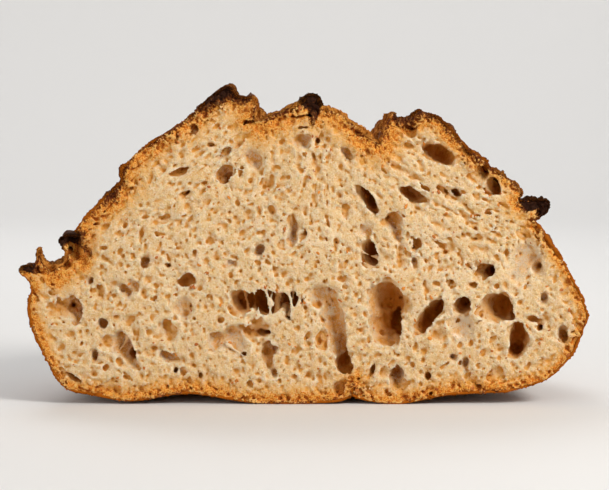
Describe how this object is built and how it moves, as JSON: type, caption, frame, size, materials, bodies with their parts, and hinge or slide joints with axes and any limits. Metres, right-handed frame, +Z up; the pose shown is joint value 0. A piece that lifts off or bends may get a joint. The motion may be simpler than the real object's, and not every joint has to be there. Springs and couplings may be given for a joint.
{
  "type": "half country loaf",
  "caption": "Half of a round rustic bread, cut through the middle, with opened scores, dark crust edges and an open crumb.",
  "frame": {"origin": "on the surface the loaf stands on, under the middle of the half loaf's box", "axes": "+X to the right along the cut face, +Y from the cut face to the back of the loaf, +Z up"},
  "size_m": [0.2296, 0.112, 0.1289],
  "materials": {
    "bread": "matte baked crust, golden to dark brown, with a cream crumb in the cut"
  },
  "bodies": {
    "root": {"loaf": "bread"}
  },
  "joints": []
}
